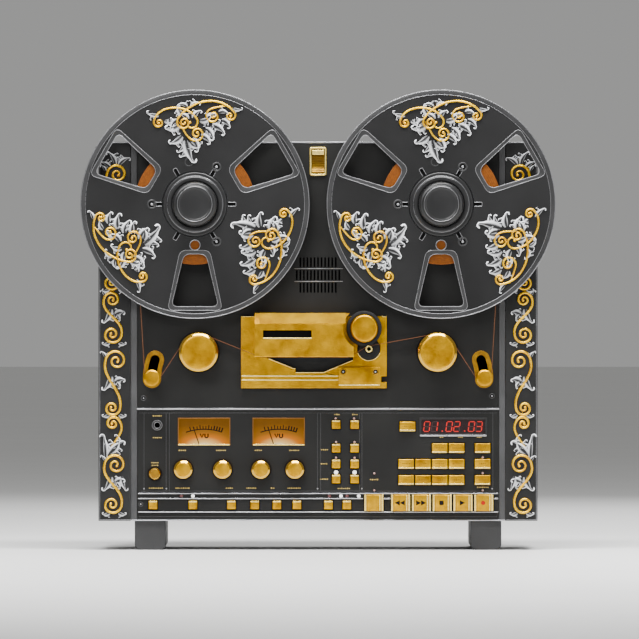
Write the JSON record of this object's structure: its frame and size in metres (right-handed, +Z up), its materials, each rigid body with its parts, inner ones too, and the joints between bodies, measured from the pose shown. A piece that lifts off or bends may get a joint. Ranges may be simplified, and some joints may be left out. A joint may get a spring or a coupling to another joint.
{
  "type": "reel to reel tape deck",
  "caption": "Upright tape recorder with two large open reels above a head block, gold rollers, level meters and rows of square keys.",
  "frame": {"origin": "middle of the deck's bounding box at the height of the surface that the feet stand on", "axes": "+X to the right as seen from the front, +Y towards the back, +Z up"},
  "size_m": [0.553, 0.246, 0.536],
  "materials": {
    "panel_black": "satin",
    "frame_grey": "satin",
    "cheek_black": "gloss",
    "reel_black": "satin",
    "gold": "polished",
    "tape_brown": "satin",
    "rubber": "matte",
    "steel": "brushed",
    "plastic_black": "matte",
    "dial_amber": "satin",
    "display_red": "gloss",
    "board_green": "matte"
  },
  "bodies": {
    "root": {"capstan_bearing": "panel_black", "capstan_motor": "steel", "chassis_frame": "frame_grey", "connector_panel": "plastic_black", "control_panel": "panel_black", "counter_display": "display_red", "deck_plate": "panel_black", "foot_left": "rubber", "foot_right": "rubber", "head_plate": "gold", "head_stack": "steel", "phones_jack": "steel", "power_supply": "board_green", "rear_cover": "panel_black", "reel_motor_left": "steel", "reel_motor_right": "steel", "side_cheek_left": "cheek_black", "side_cheek_right": "cheek_black", "tape": "tape_brown", "vu_meter_left": "dial_amber", "vu_meter_right": "dial_amber"},
    "supply_reel": {"reel_spindle_left": "steel", "reel_core_left": "reel_black", "reel_front_flange_left": "reel_black", "tape_pack_left": "tape_brown", "hub_adapter_left": "reel_black"},
    "lock_knob_left": {"lock_knob_left": "reel_black"},
    "tension_arm_left": {"tension_arm_left": "steel"},
    "tension_roller_left": {"tension_roller_left": "gold"},
    "guide_roller_left": {"guide_roller_left": "gold"},
    "take_up_reel": {"reel_spindle_right": "steel", "reel_core_right": "reel_black", "reel_front_flange_right": "reel_black", "tape_pack_right": "tape_brown", "hub_adapter_right": "reel_black"},
    "lock_knob_right": {"lock_knob_right": "reel_black"},
    "tension_arm_right": {"tension_arm_right": "steel"},
    "tension_roller_right": {"tension_roller_right": "gold"},
    "guide_roller_right": {"guide_roller_right": "gold"},
    "capstan": {"capstan_rotor": "steel"},
    "pinch_arm": {"pinch_arm": "steel"},
    "pinch_roller": {"pinch_roller": "rubber"},
    "head_cover": {"head_cover": "gold"},
    "level_knob_1": {"level_knob_1": "gold"},
    "level_knob_2": {"level_knob_2": "gold"},
    "level_knob_3": {"level_knob_3": "gold"},
    "level_knob_4": {"level_knob_4": "gold"},
    "pitch_knob": {"pitch_knob": "gold"},
    "power_rocker": {"power_rocker": "gold"},
    "pause_key": {"pause_key": "gold"},
    "rewind_key": {"rewind_key": "gold"},
    "fast_forward_key": {"fast_forward_key": "gold"},
    "stop_key": {"stop_key": "gold"},
    "play_key": {"play_key": "gold"},
    "record_key": {"record_key": "gold"},
    "selector_keypad": {"selector_keypad": "gold"},
    "mode_keypad": {"mode_keypad": "gold"},
    "locator_keypad": {"locator_keypad": "gold"},
    "vu_needle_left": {"vu_needle_left": "plastic_black"},
    "vu_needle_right": {"vu_needle_right": "plastic_black"}
  },
  "joints": [
    {"name": "supply_reel_spin", "type": "hinge", "parent": "root", "child": "supply_reel", "pos_m": [-0.1432, -0.077, 0.4029], "axis": [0, 1, 0], "continuous": true},
    {"name": "lock_knob_left_turn", "type": "hinge", "parent": "supply_reel", "child": "lock_knob_left", "pos_m": [-0.1432, -0.077, 0.4029], "axis": [0, 1, 0], "range_deg": [0, 60]},
    {"name": "tension_arm_left_swing", "type": "hinge", "parent": "root", "child": "tension_arm_left", "pos_m": [-0.1228, -0.077, 0.1994], "axis": [0, 1, 0], "range_deg": [0, 16.5], "stiffness_Nm_per_rad": 0.05, "springref_deg": -22.92, "deforming": ["tape"]},
    {"name": "tension_roller_left_spin", "type": "hinge", "parent": "tension_arm_left", "child": "tension_roller_left", "pos_m": [-0.1936, -0.077, 0.2007], "axis": [0, 1, 0], "continuous": true},
    {"name": "guide_roller_left_spin", "type": "hinge", "parent": "root", "child": "guide_roller_left", "pos_m": [-0.139, -0.077, 0.2309], "axis": [0, 1, 0], "continuous": true},
    {"name": "take_up_reel_spin", "type": "hinge", "parent": "root", "child": "take_up_reel", "pos_m": [0.1432, -0.077, 0.4029], "axis": [0, 1, 0], "continuous": true},
    {"name": "lock_knob_right_turn", "type": "hinge", "parent": "take_up_reel", "child": "lock_knob_right", "pos_m": [0.1432, -0.077, 0.4029], "axis": [0, 1, 0], "range_deg": [0, 60]},
    {"name": "tension_arm_right_swing", "type": "hinge", "parent": "root", "child": "tension_arm_right", "pos_m": [0.1228, -0.077, 0.1994], "axis": [0, -1, 0], "range_deg": [0, 16.5], "stiffness_Nm_per_rad": 0.05, "springref_deg": -22.92, "deforming": ["tape"]},
    {"name": "tension_roller_right_spin", "type": "hinge", "parent": "tension_arm_right", "child": "tension_roller_right", "pos_m": [0.1936, -0.077, 0.2007], "axis": [0, 1, 0], "continuous": true},
    {"name": "guide_roller_right_spin", "type": "hinge", "parent": "root", "child": "guide_roller_right", "pos_m": [0.139, -0.077, 0.2309], "axis": [0, 1, 0], "continuous": true},
    {"name": "capstan_spin", "type": "hinge", "parent": "root", "child": "capstan", "pos_m": [0.0592, -0.077, 0.2345], "axis": [0, 1, 0], "continuous": true},
    {"name": "pinch_arm_swing", "type": "hinge", "parent": "root", "child": "pinch_arm", "pos_m": [0.0681, -0.077, 0.2614], "axis": [0, 1, 0], "range_deg": [0, 18]},
    {"name": "pinch_roller_spin", "type": "hinge", "parent": "pinch_arm", "child": "pinch_roller", "pos_m": [0.0536, -0.077, 0.2584], "axis": [0, 1, 0], "continuous": true},
    {"name": "head_cover_pull", "type": "slide", "parent": "root", "child": "head_cover", "axis": [0, -1, 0], "range_m": [0, 0.04]},
    {"name": "level_knob_1_turn", "type": "hinge", "parent": "root", "child": "level_knob_1", "pos_m": [-0.1571, -0.077, 0.0941], "axis": [0, 1, 0], "range_deg": [-150, 150]},
    {"name": "level_knob_2_turn", "type": "hinge", "parent": "root", "child": "level_knob_2", "pos_m": [-0.1114, -0.077, 0.0941], "axis": [0, 1, 0], "range_deg": [-150, 150]},
    {"name": "level_knob_3_turn", "type": "hinge", "parent": "root", "child": "level_knob_3", "pos_m": [-0.0668, -0.077, 0.0941], "axis": [0, 1, 0], "range_deg": [-150, 150]},
    {"name": "level_knob_4_turn", "type": "hinge", "parent": "root", "child": "level_knob_4", "pos_m": [-0.0271, -0.077, 0.0941], "axis": [0, 1, 0], "range_deg": [-150, 150]},
    {"name": "pitch_knob_turn", "type": "hinge", "parent": "root", "child": "pitch_knob", "pos_m": [-0.1902, -0.077, 0.0891], "axis": [0, 1, 0], "range_deg": [-150, 150]},
    {"name": "power_rocker_rock", "type": "hinge", "parent": "root", "child": "power_rocker", "pos_m": [0, -0.077, 0.4531], "axis": [1, 0, 0], "range_deg": [0, 12]},
    {"name": "pause_key_press", "type": "slide", "parent": "root", "child": "pause_key", "axis": [0, 1, 0], "range_m": [0, 0.003], "stiffness_N_per_m": 200, "springref_m": -0.001},
    {"name": "rewind_key_press", "type": "slide", "parent": "root", "child": "rewind_key", "axis": [0, 1, 0], "range_m": [0, 0.003], "stiffness_N_per_m": 200, "springref_m": -0.001},
    {"name": "fast_forward_key_press", "type": "slide", "parent": "root", "child": "fast_forward_key", "axis": [0, 1, 0], "range_m": [0, 0.003], "stiffness_N_per_m": 200, "springref_m": -0.001},
    {"name": "stop_key_press", "type": "slide", "parent": "root", "child": "stop_key", "axis": [0, 1, 0], "range_m": [0, 0.003], "stiffness_N_per_m": 200, "springref_m": -0.001},
    {"name": "play_key_press", "type": "slide", "parent": "root", "child": "play_key", "axis": [0, 1, 0], "range_m": [0, 0.003], "stiffness_N_per_m": 200, "springref_m": -0.001},
    {"name": "record_key_press", "type": "slide", "parent": "root", "child": "record_key", "axis": [0, 1, 0], "range_m": [0, 0.003], "stiffness_N_per_m": 200, "springref_m": -0.001},
    {"name": "selector_keypad_press", "type": "slide", "parent": "root", "child": "selector_keypad", "axis": [0, 1, 0], "range_m": [0, 0.0014], "stiffness_N_per_m": 600, "springref_m": -0.0005},
    {"name": "mode_keypad_press", "type": "slide", "parent": "root", "child": "mode_keypad", "axis": [0, 1, 0], "range_m": [0, 0.0014], "stiffness_N_per_m": 600, "springref_m": -0.0005},
    {"name": "locator_keypad_press", "type": "slide", "parent": "root", "child": "locator_keypad", "axis": [0, 1, 0], "range_m": [0, 0.0014], "stiffness_N_per_m": 600, "springref_m": -0.0005},
    {"name": "vu_needle_left_swing", "type": "hinge", "parent": "root", "child": "vu_needle_left", "pos_m": [-0.1329, -0.077, 0.1061], "axis": [0, 1, 0], "range_deg": [-26, 64]},
    {"name": "vu_needle_right_swing", "type": "hinge", "parent": "root", "child": "vu_needle_right", "pos_m": [-0.0459, -0.077, 0.1061], "axis": [0, 1, 0], "range_deg": [-26, 64]}
  ]
}
